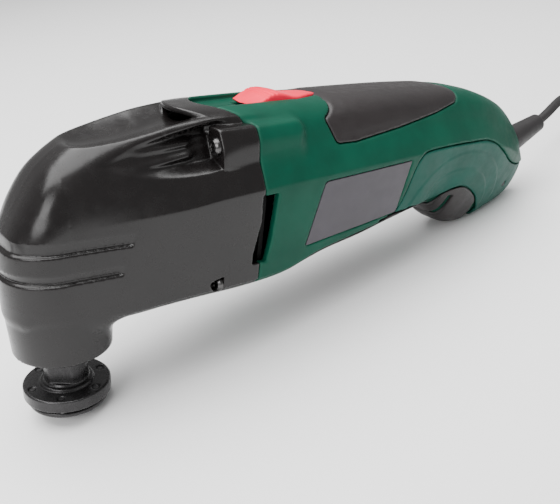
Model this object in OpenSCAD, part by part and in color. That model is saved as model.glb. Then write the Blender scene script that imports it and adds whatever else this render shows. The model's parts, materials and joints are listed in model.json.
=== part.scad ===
// Oscillating multi tool: corded, slide switch, pinned accessory flange.
// The tool is drawn in its own frame (origin on the spindle axis at the clamp
// bolt's lower face, +X to the cord, +Z up the spindle) and then tipped onto its
// clamp bolt and tail foot, which is how it stands on a bench.

/* [Stance] */
// Angle by which the tail sits lower than the spindle's own level, in degrees
pitch = 9.3; // [9:0.1:9.6]

/* [Housing] */
// Radius of the nose around the spindle
nose_r = 21.5; // [21:0.1:22]
// Place of the joint between head and body along the tool
seam_x = 73; // [72.5:0.1:73.5]
// Half of the width at the crease
half_w = 33; // [32:0.1:34]
// Height of the crease line on the sides
crease_z = 87; // [86:0.1:88]
// Height of the highest point of the housing
top_z = 117.2; // [116.6:0.1:118]
// Rearmost point of the housing
tail_x = 273; // [272:0.5:276]
// Wall of the two body shells
wall = 3.2; // [3:0.1:3.4]
// Wall of the head shell
head_wall = 2.6; // [2.4:0.1:2.8]

/* [Drive] */
// Height of the motor axis above the clamp bolt's lower face
motor_z = 82; // [81.5:0.1:82.5]
// Throw of the eccentric
throw = 1.0; // [0.8:0.1:1.2]
// Largest swing of the spindle to each side, in degrees
swing = 1.6; // [1.2:0.1:1.8]
// Distance from the spindle to the middle of the eccentric bearing
crank_x = 35.5; // [35:0.1:36]
// Radius of the armature core
armature_r = 14; // [13:0.1:14.2]
// Running gap between armature and stator
air_gap = 0.5; // [0.4:0.1:0.6]

/* [Accessory interface] */
// Radius of the flange
flange_r = 17; // [16.5:0.1:17.5]
// Height of the flange's lower face
flange_z = 7; // [6.9:0.1:7.2]
// Diameter of the circle of drive pins
pin_pcd = 28; // [27.5:0.1:28.5]
// Radius of one drive pin
pin_r = 1.2; // [1:0.05:1.3]
// Number of drive pins
pin_count = 6; // [6]
// Radius of the clamp bolt's head
bolt_head_r = 6.5; // [6.2:0.1:6.8]
// Thread radius of the clamp bolt
bolt_r = 3; // [2.9:0.05:3]

/* [Switch] */
// Travel of the slide switch
switch_travel = 5; // [4:0.5:5]

/* [Cord] */
// Diameter of the mains cord
cord_d = 5.5; // [5.4:0.1:5.6]
// Radius of the coil at the middle of its turns
coil_r = 33; // [32:0.5:33]

/* [Hidden] */
$fn = 48;
eps = 0.01;
big = 400;

black = "#1c1c1e";
green = "#14604f";
dark_rubber = "#2a282b";
red = "#d4455a";
steel = "#8f9296";
dark_steel = "#4a4b4e";
alloy = "#b9bcc0";
copper = "#b8733a";
cream = "#d9d2bd";

// ---- outlines -------------------------------------------------------------
// Half of the housing's cross-section at the seam, from the bottom up (y, z).
main_half = [[22.5, 42.5], [28, 47.5], [half_w, crease_z], [26.5, 100],
    [22.5, 111.5], [12, top_z - 0.4]];
// The same for the tail, which narrows to the foot.
tail_half = [[8, 32.5], [14, 36.5], [22, 46], [27, 58], [half_w, crease_z], [26.5, 100],
    [22.5, 111.5], [12, top_z - 0.4]];
// Where the tail's own section takes over.
tail_start = 176;
// Half of the plan, from front to rear (x, y).
function body_plan_half(front) = [[front, -half_w], [120, -32.6], [165, -31], [200, -28.4],
    [225, -25], [245, -20], [260, -15], [270, -9.5], [tail_x, -5]];
function head_plan_half(rear) = [[-6, 2.3 - nose_r], [30, -27.6], [rear, -half_w]];
// The line that the tool rests on, through the bolt's rim and the foot.
function rest_z(x) = (x - bolt_head_r) * tan(pitch);
foot_front = 207;
foot_rear = 231;
// Side view of the body (x, z), counterclockwise from its lower front end.
function body_side(front) = [[front, 42.5], [88, 43.5], [99, 47.2], [110, 49.4], [130, 52.2],
    [150, 55.2], [172, 58], [184, 53.5], [197, 45], [foot_front, rest_z(foot_front)],
    [foot_rear, rest_z(foot_rear)], [250, 41.5], [263, 45], [269.5, 50],
    [tail_x, 58], [tail_x, 66], [267, 76], [255, 86], [244, 94.5], [233, 101],
    [218, 107], [200, 110.6], [180, 112.4], [150, 113.4], [128, 114.2], [112, 116],
    [96, top_z], [front, top_z]];
// Side view of the head (x, z).
function head_side(rear) = [[-nose_r, 44], [18, 39.5], [34, 41.8], [rear, 42.5], [rear, top_z],
    [52, top_z], [34, 115.8], [14.3, 110.7], [-1, 102], [-10, 91], [-16.9, 79.5],
    [-nose_r, 66]];
boss_r = 19.6;
boss_z = 28.3;

// Screw bosses that tie the head to the body: distance from the middle, height.
upper_boss = [23.5, 104];
lower_boss = [23.8, 48.6];
boss_rail_r = 5;
boss_rail_end = 92;
head_screw_x = 57;

// Shell screws: place along the tool and height.
shell_screw_at = [[94.5, 52.6], [146, 101.5], [161, 66.8], [234, 90.5], [249, 54]];

// Regions of the skins in the side view (x, z).
top_grip_region = [[127.5, 130], [126.6, 116], [121.8, 113.4], [119.4, 112.6], [105, 107.2], [115, 96.5], [124, 97],
    [150, 100.3], [178, 104.2], [193, 107], [202, 112], [205, 130]];
rear_cover_region = [[151, 59.2], [155, 68], [159, 78], [163, 85], [169, 87.6],
    [205, 87.6], [216, 85.5], [226, 78], [234, 67], [236, 54], [231, 30],
    [222.4, 30], [216.4, 46], [211.4, 57], [204, 62.4], [196, 64.4], [186, 63],
    [172, 62]];
hook_region = [[173, 58.5], [186, 61.5], [196, 63], [203.5, 61], [210, 56],
    [214.8, 46], [221, 30], [173, 30]];
belly_region = [[90, 30], [90, 46.5], [104, 51.5], [130, 55.5], [148, 58],
    [174, 60.8], [174, 30]];
name_plate_region = [[107, 85], [111, 86], [152, 86], [146.5, 71], [141.5, 66.6],
    [95.5, 58.5], [103, 82]];
grip_t = 1.8;
cover_t = 1.2;
lower_t = 2.2;
plate_t = 0.7;

// Motor layout along the tool.
shaft_r = 4;
stator_x0 = 99;
stator_x1 = 135;
stator_r = 26;
stator_half_h = 23.5;
commutator_r = 9.5;
brush_x = 153;
rear_bearing_x = 168;
front_bearing_x = 61;
bearing_w = 7;

// Eccentric bearing and the fork around it.
ecc_r = 6.5;
ecc_w = 5;

// Level of the surface that the slide switch runs on, and the slider's front end.
seat_z = 113.2;
slider_front = 80.5;
seat_front = slider_front - switch_travel - 0.5;
seat_rear = 124;
fork_gap = ecc_r + throw + 42 * sin(swing) + 0.35;
fork_end = 42;

// Drive pins: how far they stand out of the disc, and the step to the shank.
pin_out = 1.3;
pin_shoulder = 0.1;

// Cord, coil and plug, in the resting frame with the row origin below.
function tip_x(x, z) = x * cos(pitch) + z * sin(pitch);
function tip_z(x, z) = z * cos(pitch) - x * sin(pitch);
lift = -tip_z(bolt_head_r, 0);
row_x = (tip_x(tail_x, 66) + tip_x(-flange_r, flange_z)) / 2;

boot_base = [266, 0, 72.8];
boot_lift = 17;
boot_len = 27;

cord_r = cord_d / 2;
coil_at = [272, -13];
coil_turns = 5;
coil_floor = 0.8;
coil_w = coil_turns * cord_d;
coil_h = 2 * cord_d;

outer_turn_r = coil_r + (coil_w - cord_d) / 2;
layer_z = coil_floor + cord_r;

// Middle line of the free cord from the boot to the coil's outer turn, in the resting frame.
cord_route = [[168.8, 0, 33.6], [174.8, 0.6, 34.7], [180.8, 1.6, 35.7], [187.8, 3.2, 36.7],
    [194.8, 5.2, 37.1], [201.8, 7.6, 36.6], [208.8, 10.2, 34.9], [215.8, 12.9, 31.9],
    [221.9, 15.4, 28], [227.9, 18, 23.2], [234, 20.6, 17.6], [240, 23.1, 12.2],
    [246, 25.4, 8], [252, 27.5, 5.2], [258, 29.2, 4], [264, 30.4, layer_z],
    [coil_at.x, coil_at.y + outer_turn_r, layer_z]];
plug_r = 17.7;
plug_half_t = 12;
plug_len = 34;
relief_len = 20;
plug_pin_r = 2.4;
plug_pin_len = 19;
plug_pin_gap = 19;

// The end of the cord rises off the outer turn and bends round to the plug, which lies on the coil.
plug_bend = 20;
rise_angle = 50;
top_layer_z = coil_floor + coil_h - cord_r;
plug_at = [coil_at.x + plug_bend, coil_at.y + outer_turn_r - plug_bend,
    coil_floor + coil_h + plug_half_t + 0.05];
function risen(t) = top_layer_z + (plug_at.z - top_layer_z) * t * t * (3 - 2 * t);
plug_route = concat(
    [for (i = [0:4]) let (a = 90 + rise_angle * (1 - i / 5))
        [coil_at.x + outer_turn_r * cos(a), coil_at.y + outer_turn_r * sin(a), risen(i / 11)]],
    [for (i = [0:6]) let (a = 90 - 15 * i)
        [plug_at.x - plug_bend * (1 - cos(a)), plug_at.y + plug_bend * sin(a), risen((i + 5) / 11)]]);

// ---- helpers --------------------------------------------------------------
function unit(v) = v / norm(v);
function mirrored_y(h) = concat(h, [for (i = [len(h) - 1:-1:0]) [-h[i].x, h[i].y]]);
function mirrored_x(h) = concat(h, [for (i = [len(h) - 1:-1:0]) [h[i].x, -h[i].y]]);
// Closed counterclockwise outline moved inwards by g.
function inset(p, g) = [for (i = [0:len(p) - 1])
    let (n = len(p), a = p[(i + n - 1) % n], b = p[i], c = p[(i + 1) % n],
        u = unit(b - a), v = unit(c - b))
    b - g * [u.y + v.y, -u.x - v.x] / (1 + u * v)];

module side_prism(p) {
    rotate([90, 0, 0]) linear_extrude(2 * half_w + 20, center = true) polygon(p);
}

module section_prism(p, x0, x1) {
    translate([x0, 0, 0]) rotate([90, 0, 90]) linear_extrude(x1 - x0) polygon(p);
}

module plan_prism(p) {
    linear_extrude(140) polygon(p);
}

module along_x(x0, x1, r, y = 0, z = motor_z, r2 = undef) {
    translate([x0, y, z]) rotate([0, 90, 0])
        cylinder(h = x1 - x0, r1 = r, r2 = is_undef(r2) ? r : r2);
}

module along_y(y0, y1, r, x, z) {
    translate([x, y0, z]) rotate([-90, 0, 0]) cylinder(h = y1 - y0, r = r);
}

module ring_x(x0, x1, r_in, r_out, z = motor_z) {
    difference() {
        along_x(x0, x1, r_out, 0, z);
        along_x(x0 - 1, x1 + 1, r_in, 0, z);
    }
}

module ring_z(z0, z1, r_in, r_out) {
    difference() {
        translate([0, 0, z0]) cylinder(h = z1 - z0, r = r_out);
        translate([0, 0, z0 - 1]) cylinder(h = z1 - z0 + 2, r = r_in);
    }
}

// Sector of a ring about the motor axis, centred on the angle mid from +Y.
module sector_x(x0, x1, r_in, r_out, mid, half) {
    translate([x0, 0, motor_z]) rotate([90, 0, 90]) rotate([0, 0, mid - half])
        rotate_extrude(angle = 2 * half) translate([r_in, 0]) square([r_out - r_in, x1 - x0]);
}

// From the tool's own frame to the row frame in which it rests.
module at_rest() {
    translate([-row_x, 0, lift]) rotate([0, pitch, 0]) children();
}

// Solid outline of the body, moved inwards by g from every face but the front.
module body_solid(g, front = seam_x) {
    intersection() {
        side_prism(inset(body_side(front - g), g));
        plan_prism(inset(mirrored_x(body_plan_half(front - g)), g));
        union() {
            section_prism(inset(mirrored_y(main_half), g), front, tail_start);
            section_prism(inset(mirrored_y(tail_half), g), tail_start, tail_x + 1);
        }
    }
}

// Half-round rail on each side over the upper screw bosses.
module boss_rails(x0, x1, r) {
    for (s = [-1, 1]) {
        along_x(x0, x1, r, s * upper_boss.x, upper_boss.y);
        translate([x1, s * upper_boss.x, upper_boss.y]) sphere(r);
    }
}

// The same for the head, which is open at the seam.
module head_solid(g, rear = seam_x) {
    intersection() {
        side_prism(inset(head_side(rear + g), g));
        union() {
            linear_extrude(140) circle(nose_r - g);
            plan_prism(inset(mirrored_x(head_plan_half(rear + g)), g));
        }
        section_prism(inset(mirrored_y(main_half), g), -nose_r - 1, rear);
    }
}

// Air intake slots in the front of the tail's hook.
module intake_slots() {
    for (x = [183, 190, 197])
        translate([x, -19, 38]) cube([3, 38, 20]);
}

module four_bosses(x0, x1, upper_r, lower_r) {
    for (s = [-1, 1]) {
        along_x(x0, x1, upper_r, s * upper_boss.x, upper_boss.y);
        along_x(x0, x1, lower_r, s * lower_boss.x, lower_boss.y);
    }
}

// ---- housing --------------------------------------------------------------
module head_shell() {
    flute_r = 6.4;
    flute_x = 34;
    groove_h = 5;
    groove_depth = 1.2;
    color(black) at_rest() difference() {
        union() {
            difference() {
                union() {
                    head_solid(0);
                    translate([0, 0, boss_z]) cylinder(h = 30, r = boss_r);
                }
                head_solid(head_wall, seam_x + 1);
                translate([0, 0, boss_z + 2]) cylinder(h = 40, r = boss_r - 2.1);
            }
            // Lined pockets in front of the screws, and the bosses themselves.
            intersection() {
                union() {
                    head_solid(0);
                    boss_rails(head_screw_x, seam_x - 5, boss_rail_r);
                }
                four_bosses(flute_x - 2, seam_x, flute_r + 1.8, 5.6);
            }
            intersection() {
                head_solid(0);
                translate([2, 0, 116]) rotate([0, 92, 0]) cylinder(h = 52, r1 = 3, r2 = 12.5);
            }
            for (s = [-1, 1]) along_x(head_screw_x, seam_x, boss_rail_r, s * upper_boss.x, upper_boss.y);
        }
        // Flutes that lead to the screw heads.
        four_bosses(flute_x, head_screw_x, flute_r, 3.8);
        four_bosses(head_screw_x - 1, seam_x + 1, 2.1, 2.1);
        // Scoop on top.
        translate([4, 0, 118]) rotate([0, 92, 0]) cylinder(h = 50, r1 = 1, r2 = 10.5);
        // Two grooves around the nose.
        for (z = [60.4, 73.6])
            difference() {
                translate([-nose_r - 1, -big / 2, z]) cube([nose_r + 21, big, groove_h]);
                head_solid(groove_depth);
            }
        // Way out for the spindle's neck.
        translate([0, 0, boss_z - 1]) cylinder(h = 10, r = 14.2);
    }
}

module gear_housing() {
    color(alloy) at_rest() difference() {
        union() {
            translate([0, 0, 31.6]) cylinder(h = 38.4, r = 17.3);
            translate([8, -13, 45.6]) cube([54, 26, 13.4]);
            along_x(59, 70, 23.4);
        }
        translate([0, 0, 30]) cylinder(h = 12, r = 14);
        translate([0, 0, 30]) cylinder(h = 50, r = 9);
        translate([0, 0, 60]) cylinder(h = 20, r = 13);
        along_x(58, front_bearing_x, 8);
        along_x(front_bearing_x, 71, 11);
    }
}

module head_screws() {
    color(steel) at_rest()
        for (s = [-1, 1])
            for (b = [upper_boss, lower_boss])
                difference() {
                    union() {
                        along_x(head_screw_x - 2.4, head_screw_x, 3.2, s * b.x, b.y, 3.4);
                        along_x(head_screw_x, 86, 1.9, s * b.x, b.y);
                    }
                    for (a = [0, 90])
                        translate([head_screw_x - 2.4, s * b.x, b.y]) rotate([a, 0, 0])
                            cube([2.6, 0.9, 3.8], center = true);
                }
}

// Plate across the inside of the body with a round opening about the motor axis.
module rib(x0, x1, r) {
    difference() {
        intersection() {
            body_solid(wall - 0.1);
            translate([x0, -big / 2, 0]) cube([x1 - x0, big, big]);
        }
        along_x(x0 - 1, x1 + 1, r);
    }
}

// Both body shells in one piece; each shell is one half of it.
module body_housing() {
    difference() {
        union() {
            difference() {
                union() {
                    body_solid(0);
                    boss_rails(seam_x, boss_rail_end, boss_rail_r);
                }
                body_solid(wall, seam_x - 1);
            }
            rib(96, 98.9, 22.6);
            rib(135.1, 138, 22.6);
            rib(167, 176, 13);
            intersection() {
                union() {
                    body_solid(0.5);
                    boss_rails(seam_x, boss_rail_end - 3, boss_rail_r - 0.2);
                }
                four_bosses(seam_x, 88, 4.6, 4.4);
            }
            intersection() {
                body_solid(1);
                for (p = shell_screw_at) along_y(-half_w, half_w, 4.6, p.x, p.y);
            }
            // Floor under the slide switch.
            translate([seam_x, -13, seat_z - 2.8]) cube([52, 26, 2.8 + eps]);
        }
        four_bosses(seam_x - 1, 86, 1.9, 1.9);
        // Channel for the switch link, and the slot for the slider's stem.
        translate([78, -6.5, 105.9]) cube([122, 13, 2.7]);
        translate([80, -3.4, 104]) cube([26, 6.8, 14]);
        // Seat of the slide switch.
        translate([seat_front, -10.4, seat_z]) cube([seat_rear - seat_front, 20.8, 8]);
        // Exhaust slots in both sides behind the seam.
        for (s = [-1, 1])
            translate([seam_x - 1, s * half_w - 8, 55]) cube([7, 16, 29]);
        // Intake slots on the hook.
        intake_slots();
        // Exit of the cord.
        translate(boot_base) rotate([0, 90 - boot_lift, 0]) cylinder(h = 60, r = 7.7, center = true);
        // Ways for the leads through the bearing rib.
        for (s = [-1, 1]) along_x(165, 180, 2.6, s * 14.6, 96.6);
        // Shell screws: clearance, head recess and pilot holes.
        for (p = shell_screw_at) {
            along_y(-14, 16.1, 1.6, p.x, p.y);
            along_y(16, half_w + 1, 3.4, p.x, p.y);
        }
        // Recesses of the skins.
        difference() {
            side_prism(top_grip_region);
            body_solid(grip_t);
        }
        difference() {
            side_prism(rear_cover_region);
            body_solid(cover_t);
        }
        difference() {
            side_prism(hook_region);
            body_solid(lower_t);
        }
        difference() {
            intersection() {
                side_prism(belly_region);
                translate([0, -24, 0]) cube([big, 48, big]);
            }
            body_solid(lower_t);
        }
        difference() {
            side_prism(name_plate_region);
            body_solid(plate_t);
        }
    }
}

module left_body_shell() {
    color(green) at_rest() intersection() {
        body_housing();
        translate([0, -big, 0]) cube([big, big, big]);
    }
}

module right_body_shell() {
    color(green) at_rest() intersection() {
        body_housing();
        cube([big, big, big]);
    }
}

module shell_screws() {
    color(dark_steel) at_rest()
        for (p = shell_screw_at)
            difference() {
                union() {
                    along_y(-13, 16, 1.6, p.x, p.y);
                    along_y(16, 18.3, 3.1, p.x, p.y);
                }
                for (a = [0, 90])
                    translate([p.x, 18.3, p.y]) rotate([0, a, 0])
                        cube([0.9, 2.4, 3.6], center = true);
            }
}

module top_grip() {
    color(dark_rubber) at_rest() difference() {
        intersection() {
            body_solid(0);
            side_prism(top_grip_region);
        }
        body_solid(grip_t);
    }
}

module lower_grip() {
    color(dark_rubber) at_rest() difference() {
        intersection() {
            body_solid(0);
            union() {
                side_prism(hook_region);
                intersection() {
                    side_prism(belly_region);
                    translate([0, -24, 0]) cube([big, 48, big]);
                }
            }
        }
        body_solid(lower_t);
        intake_slots();
    }
}

module rear_cover(s) {
    color(green) at_rest() difference() {
        intersection() {
            body_solid(0);
            side_prism(rear_cover_region);
            translate([0, s > 0 ? 8 : -big - 8, 0]) cube([big, big, big]);
        }
        body_solid(cover_t);
    }
}

module left_rear_cover() {
    rear_cover(-1);
}

module right_rear_cover() {
    rear_cover(1);
}

module name_plate(s) {
    color("#4a4450") at_rest() difference() {
        intersection() {
            body_solid(0);
            side_prism(name_plate_region);
            translate([0, s > 0 ? 0 : -big, 0]) cube([big, big, big]);
        }
        body_solid(plate_t);
    }
}

module left_name_plate() {
    name_plate(-1);
}

module right_name_plate() {
    name_plate(1);
}

// ---- motor ----------------------------------------------------------------
module air_baffle() {
    color(black) at_rest() difference() {
        intersection() {
            union() {
                translate([74, -28.5, 48]) cube([2, 57, 66]);
                along_x(74, 76, 27);
            }
            body_solid(wall + 0.3);
        }
        along_x(73, 77, 14);
        four_bosses(73, 90, 5.2, 5);
        translate([70, -14, 106]) cube([20, 28, 20]);
    }
}

module stator_core() {
    color(steel) at_rest() difference() {
        intersection() {
            along_x(stator_x0, stator_x1, stator_r);
            translate([stator_x0, -stator_r, motor_z - stator_half_h])
                cube([stator_x1 - stator_x0, 2 * stator_r, 2 * stator_half_h]);
        }
        along_x(stator_x0 - 1, stator_x1 + 1, armature_r + air_gap);
        for (m = [90, 270])
            for (t = [-1, 1])
                sector_x(stator_x0 - 1, stator_x1 + 1, 16.8, 21.7, m + t * 46, 7);
    }
}

module field_coils() {
    color(copper) at_rest()
        for (m = [90, 270]) {
            for (x = [stator_x0 - 5.2, stator_x1 + 0.2])
                sector_x(x, x + 5, 17, 21.5, m, 52);
            for (t = [-1, 1])
                sector_x(stator_x0 - 5, stator_x1 + 5, 17, 21.5, m + t * 46, 6);
        }
}

module rear_bearing_sleeve() {
    color(dark_rubber) at_rest()
        ring_x(rear_bearing_x - 0.5, rear_bearing_x + bearing_w + 0.5, 11, 13);
}

// Deep-groove bearing in one solid with the recesses of its shields.
module bearing_x(x0, r_in, r_out, w) {
    difference() {
        along_x(x0, x0 + w, r_out);
        along_x(x0 - 1, x0 + w + 1, r_in);
        for (x = [x0 - 1, x0 + w - 0.5])
            ring_x(x, x + 1.5, r_in + 1.6, r_out - 1.6);
    }
}

module bearing_z(z0, r_in, r_out, w) {
    difference() {
        ring_z(z0, z0 + w, r_in, r_out);
        for (z = [z0 - 1, z0 + w - 0.5])
            ring_z(z, z + 1.5, r_in + 1.6, r_out - 1.6);
    }
}

module front_motor_bearing() {
    color(steel) at_rest() bearing_x(front_bearing_x, shaft_r + 0.05, 11, bearing_w);
}

module rear_motor_bearing() {
    color(steel) at_rest() bearing_x(rear_bearing_x, shaft_r + 0.05, 11, bearing_w);
}

module brush_holders() {
    color(cream) at_rest()
        for (s = [-1, 1])
            difference() {
                translate([brush_x - 4.5, s > 0 ? 11 : -28, motor_z - 4.2]) cube([9, 17, 8.4]);
                translate([brush_x - 3, s > 0 ? 10 : -25.5, motor_z - 2.6]) cube([6, 15.5, 5.2]);
            }
}

module carbon_brushes() {
    color("#3a3a3c") at_rest()
        for (s = [-1, 1])
            difference() {
                translate([brush_x - 3, s > 0 ? 8 : -19, motor_z - 2.6]) cube([6, 11, 5.2]);
                along_x(brush_x - 5, brush_x + 5, commutator_r + 0.3);
            }
}

module brush_springs() {
    color(steel) at_rest()
        for (s = [-1, 1]) {
            for (i = [0:3])
                translate([brush_x, s * (19.8 + 1.6 * i), motor_z]) rotate([90, 0, 0])
                    rotate_extrude() translate([1.9, 0]) circle(0.4, $fn = 24);
            translate([brush_x - 0.35, s > 0 ? 19.4 : -25, motor_z + 1.5]) cube([0.7, 5.6, 0.7]);
        }
}

module rotor_shaft() {
    color(alloy) at_rest() {
        along_x(43, 177.5, shaft_r);
        along_x(crank_x - ecc_w / 2 - 0.5, 43.5, 2, 0, motor_z + throw);
    }
}

module armature_core() {
    slots = 12;
    color(steel) at_rest() difference() {
        along_x(stator_x0, stator_x1, armature_r);
        along_x(stator_x0 - 1, stator_x1 + 1, shaft_r);
        for (i = [0:slots - 1])
            translate([stator_x0 - 1, 0, motor_z]) rotate([i * 360 / slots, 0, 0])
                translate([0, -0.8, armature_r - 4]) cube([stator_x1 - stator_x0 + 2, 1.6, 6]);
    }
}

module armature_winding() {
    color(copper) at_rest() {
        ring_x(stator_x0 - 5, stator_x0, shaft_r, 12.4);
        ring_x(stator_x1, stator_x1 + 8, shaft_r, 12.4);
    }
}

module commutator() {
    bars = 24;
    color(copper) at_rest() difference() {
        along_x(146, 160, commutator_r);
        along_x(145, 161, shaft_r);
        for (i = [0:bars - 1])
            translate([147, 0, motor_z]) rotate([i * 360 / bars, 0, 0])
                translate([0, -0.25, commutator_r - 1]) cube([14, 0.5, 2]);
    }
}

module cooling_fan() {
    blades = 11;
    color(cream) at_rest() difference() {
        union() {
            along_x(88, 90, 24);
            along_x(79, 90, 8);
            for (i = [0:blades - 1])
                translate([79.5, 0, motor_z]) rotate([i * 360 / blades, 0, 0])
                    translate([0, -0.8, 6]) cube([9, 1.6, 17.5]);
        }
        along_x(78, 91, shaft_r);
    }
}

module counterweight() {
    color(dark_steel) at_rest() difference() {
        union() {
            along_x(44, 53, 8);
            intersection() {
                along_x(44, 53, 12.5);
                translate([40, -20, motor_z - 20]) cube([20, 40, 18]);
            }
        }
        along_x(43, 54, shaft_r);
    }
}

module eccentric_bearing() {
    color(steel) at_rest() translate([0, 0, throw])
        bearing_x(crank_x - ecc_w / 2, 2, ecc_r, ecc_w);
}

// ---- spindle --------------------------------------------------------------
module lower_spindle_bearing() {
    color(steel) at_rest() bearing_z(33, 6.05, 14, 8);
}

module upper_spindle_bearing() {
    color(steel) at_rest() bearing_z(60, 5.05, 13, 8);
}

module spindle_seal() {
    color(dark_rubber) at_rest() ring_z(29, 32.6, 8.9, 14);
}

module spindle() {
    thread_clearance = 0.05;
    color(steel) at_rest() difference() {
        union() {
            translate([0, 0, 12]) cylinder(h = 47.5, r = 6);
            translate([0, 0, 59]) cylinder(h = 29, r = 5);
        }
        translate([0, 0, 11]) cylinder(h = 17, r = bolt_r + thread_clearance);
    }
}

module fork_arm() {
    color(steel) at_rest() difference() {
        union() {
            translate([0, 0, 73]) cylinder(h = 14, r = 8.6);
            translate([5, -11, 76]) cube([20, 22, 11]);
            for (s = [-1, 1])
                translate([20, s > 0 ? fork_gap : -fork_gap - 4.6, 76])
                    cube([fork_end - 20, 4.6, 11]);
            translate([20, -fork_gap - 4.6, 76]) cube([6, 2 * fork_gap + 9.2, 11]);
        }
        translate([0, 0, 72]) cylinder(h = 17, r = 5);
        translate([30, 0, motor_z]) rotate([0, 90, 0]) cylinder(h = 20, r = 0.5);
    }
}

module accessory_flange() {
    neck_r = 8.5;
    color(dark_steel) at_rest() difference() {
        union() {
            translate([0, 0, flange_z]) cylinder(h = 5, r = flange_r);
            translate([0, 0, flange_z + 4.5]) cylinder(h = 1.5, r = 10.3);
            translate([0, 0, flange_z + 4.5]) cylinder(h = 20.5, r = neck_r);
            // Pilot that centres the accessory.
            translate([0, 0, flange_z - 1.2]) cylinder(h = 2, r = 5);
        }
        translate([0, 0, 12]) cylinder(h = 30, r = 6);
        translate([0, 0, 0]) cylinder(h = 20, r = bolt_r + 0.3);
        for (i = [0:pin_count - 1])
            rotate([0, 0, i * 360 / pin_count]) translate([pin_pcd / 2, 0, 0])
                cylinder(h = 20, r = pin_r - pin_shoulder);
    }
}

// Each pin stands on a shoulder below the disc; its thinner shank fills the hole.
module drive_pins() {
    color(alloy) at_rest()
        for (i = [0:pin_count - 1])
            rotate([0, 0, i * 360 / pin_count]) translate([pin_pcd / 2, 0, flange_z - pin_out]) {
                cylinder(h = pin_out, r = pin_r);
                cylinder(h = pin_out + 4.7, r = pin_r - pin_shoulder);
            }
}

module clamp_washer() {
    color(dark_steel) at_rest() difference() {
        union() {
            translate([0, 0, 2.4]) cylinder(h = 1.6, r1 = 13.5, r2 = 15.4);
            translate([0, 0, 4]) cylinder(h = 1.5, r = 15.4);
        }
        translate([0, 0, 0]) cylinder(h = 10, r = bolt_r + 0.05);
        translate([0, 0, 0]) cylinder(h = 4.05, r = bolt_head_r + 0.05);
        translate([0, 0, 4.6]) cylinder(h = 2, r = 5.4);
    }
}

module clamp_bolt() {
    hex_r = 2.9;
    color(dark_steel) at_rest() difference() {
        union() {
            cylinder(h = 4, r = bolt_head_r);
            translate([0, 0, 3.5]) cylinder(h = 20.5, r = bolt_r);
        }
        translate([0, 0, -1]) cylinder(h = 3.6, r = hex_r, $fn = 6);
    }
}

// ---- switch and wiring ----------------------------------------------------
module switch_slider() {
    slider_side = [[slider_front, 113.5], [121, 113.5], [121, 113.9], [109.5, 115.4],
        [102, 115.8], [94, 118], [88, 118.2], [83, 115.6]];
    slider_plan = [[80, -8], [86, -9.4], [104, -9], [121, -1.2], [121, 1.2],
        [104, 9], [86, 9.4], [80, 8]];
    color(red) at_rest() {
        intersection() {
            side_prism(slider_side);
            plan_prism(slider_plan);
        }
        translate([88, -3, 107.9]) cube([12, 6, 6]);
    }
}

module switch_link() {
    color(cream) at_rest() {
        translate([86, -5.5, 106.2]) cube([112, 11, 1.7]);
        translate([192, -3, 103.5]) cube([4, 6, 3]);
    }
}

module switch_module() {
    color(black) at_rest() difference() {
        translate([184, -9, 82]) cube([24, 18, 21]);
        translate([185, -4, 101]) cube([14, 8, 4]);
    }
}

module interference_capacitor() {
    color("#c9a227") at_rest() translate([212, -9, 62]) cube([18, 18, 11]);
}

module inner_leads() {
    color("#3b5fa8") at_rest()
        for (s = [-1, 1]) {
            // From the cord's end to the switch.
            swept_tube([[237.5, s * 1.6, 66], [231, s * 4, 76], [222, s * 6, 82],
                [214, s * 6, 90], [208.3, s * 6, 92]], 1.1, 12, 8);
            // From the switch to the brush holders.
            swept_tube([[183.7, s * 7, 92], [178, s * 13, 96], [172, s * 15, 97],
                [164, s * 15.4, 96], [156.5, s * 17, 91], [155, s * 18, 86.4]], 1.1, 14, 8);
        }
}

// Frame at the foot of the boot, with +Z along the cord and -X upwards.
module at_boot() {
    at_rest() translate(boot_base) rotate([0, 90 - boot_lift, 0]) children();
}

module cord_clamp() {
    color(black) at_boot() difference() {
        translate([-cord_r - 3.1, -11, -26]) cube([3, 22, 8]);
        for (s = [-1, 1])
            translate([-10, s * 8, -22]) rotate([0, 90, 0]) cylinder(h = 10, r = 1.5);
    }
}

module cord_clamp_screws() {
    color(steel) at_boot()
        for (s = [-1, 1]) {
            translate([-cord_r - 3.1, s * 8, -22]) rotate([0, 90, 0]) cylinder(h = 12, r = 1.5);
            translate([-cord_r - 4.9, s * 8, -22]) rotate([0, 90, 0]) cylinder(h = 1.8, r = 2.7);
        }
}

// ---- cord -----------------------------------------------------------------
module cord_boot() {
    color(dark_rubber) at_boot() {
        translate([0, 0, -7]) cylinder(h = 7.2, r = 7.6);
        cylinder(h = boot_len, r1 = 7.5, r2 = 4.6);
        translate([0, 0, -29]) cylinder(h = 22.2, r = cord_r);
    }
}

// Point of a Catmull-Rom curve through p, at u from 0 to its number of spans.
function on_curve(p, u) =
    let (n = len(p) - 1, i = min(n - 1, floor(u)), t = u - i, a = p[max(i - 1, 0)],
        b = p[i], c = p[i + 1], d = p[min(i + 2, n)])
    0.5 * (2 * b + (c - a) * t + (2 * a - 5 * b + 4 * c - d) * t * t
        + (3 * b - a - 3 * c + d) * t * t * t);

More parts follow.
